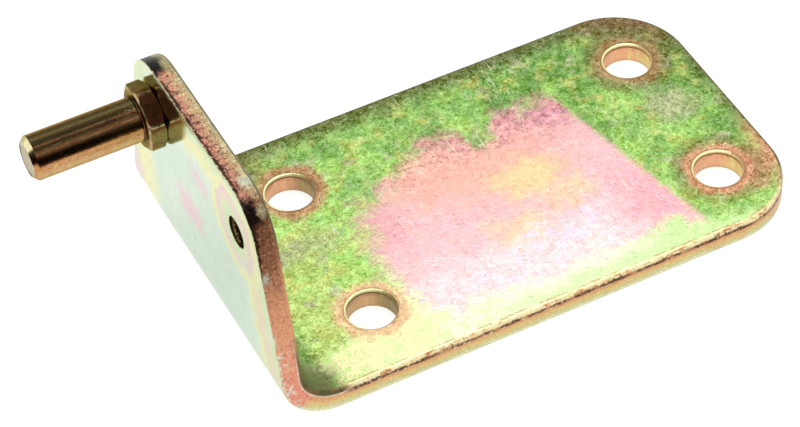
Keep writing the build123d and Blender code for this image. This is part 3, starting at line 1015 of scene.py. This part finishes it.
def makeWorld():
    world = bpy.data.worlds.new("studio_white")
    bpy.context.scene.world = world
    world.use_nodes = True
    tree = world.node_tree
    tree.nodes.clear()
    back = tree.nodes.new("ShaderNodeBackground")
    back.inputs["Color"].default_value = (1.0, 1.0, 1.0, 1.0)
    tree.links.new(byRay(tree, studio["worldLevel"], 1.0, 1.0), back.inputs["Strength"])
    output = tree.nodes.new("ShaderNodeOutputWorld")
    tree.links.new(back.outputs[0], output.inputs[0])


def aimed(item, place, target):
    item.location = Vector(place)
    item.rotation_mode = "QUATERNION"
    item.rotation_quaternion = (Vector(target) - Vector(place)).to_track_quat("-Z", "Y")


def addSoftLight(name, place, size, power, target=(0.0, 0.0, 0.01)):
    lamp = bpy.data.lights.new(name, "AREA")
    lamp.shape = "RECTANGLE"
    lamp.size, lamp.size_y = size
    lamp.energy = power
    item = bpy.data.objects.new(name, lamp)
    bpy.context.collection.objects.link(item)
    aimed(item, place, target)


# seen only in mirror reflections, so it darkens polished metal and nothing else
def onlyMirrored(card):
    card.visible_camera = False
    card.visible_diffuse = False
    card.visible_shadow = False


# a dark arch over the pin and clear of the bracket, for the dark bands of polished metal in a studio
arch = {
    "axisY": 12.0,
    "axisZ": 26.3,
    "facets": 180,
    "pieces": {     # radius, from and to along x, and the arc in degrees up from the front
        "arch_low": (44.0, (-80.0, -37.0), (-12.0, 17.0)),
        "arch_front": (40.0, (-80.0, -31.0), (14.5, 95.0)),
        "arch_back": (40.0, (-80.0, -33.1), (95.0, 188.0)),
    },
    "glow": [       # degrees up from the front, and how bright the arch is there
        (-14, 0.40), (-9, 0.14), (-3, 0.01), (24, 0.005), (32, 0.04), (41, 0.18), (50, 0.30),
        (60, 0.20), (70, 0.07), (83, 0.08), (87, 0.30), (90, 0.30), (94, 0.06), (112, 0.09),
        (121, 0.17), (130, 0.36), (137, 0.26), (150, 0.13), (164, 0.17), (173, 0.36), (188, 0.60),
    ],
}


def makeArchBlack():
    m = NodeBench("arch_black")
    angle = m.calc("ARCTAN2", m.sub(m.z, arch["axisZ"]), m.sub(arch["axisY"], m.y))
    angle = m.calc("WRAP", angle, 1.5 * math.pi, -0.5 * math.pi)
    first, last = arch["glow"][0][0], arch["glow"][-1][0]
    part = m.calc("DIVIDE", m.sub(m.mul(angle, 180.0 / math.pi), first), last - first)
    stops = [((degrees - first) / (last - first), (level, level, level)) for degrees, level in arch["glow"]]
    m.shader.inputs["Base Color"].default_value = (0.0, 0.0, 0.0, 1.0)
    m.shader.inputs["Roughness"].default_value = 1.0
    m.shader.inputs["Specular IOR Level"].default_value = 0.0
    m.plug(m.ramp(part, stops), m.shader.inputs["Emission Color"])
    m.shader.inputs["Emission Strength"].default_value = 1.0
    return m.material


def addArch(name, radius, span, arc, material):
    mm = 0.001
    middle = ((span[0] + span[1]) / 2 * mm, arch["axisY"] * mm, arch["axisZ"] * mm)
    bpy.ops.object.select_all(action="DESELECT")
    bpy.ops.mesh.primitive_cylinder_add(
        vertices=arch["facets"],
        radius=radius * mm,
        depth=(span[1] - span[0]) * mm,
        end_fill_type="NOTHING",
        location=middle,
        rotation=(0.0, math.pi / 2, 0.0),
    )
    card = bpy.context.object
    card.name = name
    bpy.ops.object.transform_apply(location=True, rotation=True, scale=True)
    bpy.ops.object.mode_set(mode="EDIT")
    bpy.ops.mesh.select_mode(type="FACE")
    bpy.ops.mesh.select_all(action="DESELECT")
    bpy.ops.object.mode_set(mode="OBJECT")
    for face in card.data.polygons:
        angle = math.degrees(math.atan2(face.center.z - middle[2], middle[1] - face.center.y))
        face.select = not (arc[0] < angle < arc[1] or arc[0] < angle + 360.0 < arc[1])
    bpy.ops.object.mode_set(mode="EDIT")
    bpy.ops.mesh.delete(type="FACE")
    bpy.ops.object.mode_set(mode="OBJECT")
    card.data.materials.append(material)
    onlyMirrored(card)


# a small dark card before the tip, which its chamfer mirrors
def addTipCard():
    place, size, upright = studio["tipCardPlace"], studio["tipCardSize"], (0.0, math.pi / 2, 0.0)
    bpy.ops.object.select_all(action="DESELECT")
    bpy.ops.mesh.primitive_plane_add(size=size, location=place, rotation=upright)
    card = bpy.context.object
    card.name = "tip_card"
    m = NodeBench("tip_card_black")
    m.shader.inputs["Base Color"].default_value = (studio["tipCardTone"],) * 3 + (1.0,)
    m.shader.inputs["Roughness"].default_value = 1.0
    m.shader.inputs["Specular IOR Level"].default_value = 0.0
    card.data.materials.append(m.material)
    onlyMirrored(card)


# a small shade that keeps the overhead lamp off the pin
def addPinShade():
    bpy.ops.object.select_all(action="DESELECT")
    bpy.ops.mesh.primitive_plane_add(size=1.0, location=studio["pinShadePlace"])
    shade = bpy.context.object
    shade.name = "pin_shade"
    shade.scale = (*studio["pinShadeSize"], 1.0)
    bpy.ops.object.transform_apply(location=False, rotation=False, scale=True)
    shade.visible_camera = False
    shade.visible_diffuse = False
    shade.visible_glossy = False
    shade.visible_transmission = False


# the camera that was fitted to the photograph
photoCamera = {
    "place": (-0.1370826, -0.2542181, 0.2976561),
    "look": (0.298771, 0.625279, -0.720945),
    "right": (0.887197, -0.460311, -0.031561),
    "focalPixels": 3091.6,
    "widthPixels": 800.0,
    "sensorWidth": 36.0,
}


def makeCamera():
    c = photoCamera
    look = Vector(c["look"]).normalized()
    right = Vector(c["right"]).normalized()
    up = right.cross(look)
    camera = bpy.data.cameras.new("photo_camera")
    camera.sensor_width = c["sensorWidth"]
    camera.lens = c["focalPixels"] / c["widthPixels"] * c["sensorWidth"]
    camera.clip_start = 0.01
    camera.clip_end = 20.0
    item = bpy.data.objects.new("photo_camera", camera)
    bpy.context.collection.objects.link(item)
    turn = Matrix((right, up, -look)).transposed().to_4x4()
    item.matrix_world = Matrix.Translation(c["place"]) @ turn
    bpy.context.scene.camera = item


makeFloor()
makeWorld()
for lightName, (place, size, power) in studio["lights"].items():
    addSoftLight(lightName, place, size, power)
archBlack = makeArchBlack()
for pieceName, (radius, span, arc) in arch["pieces"].items():
    addArch(pieceName, radius, span, arc, archBlack)
addTipCard()
addPinShade()
makeCamera()
bpy.context.scene.view_settings.view_transform = "Standard"
print("studio finished")
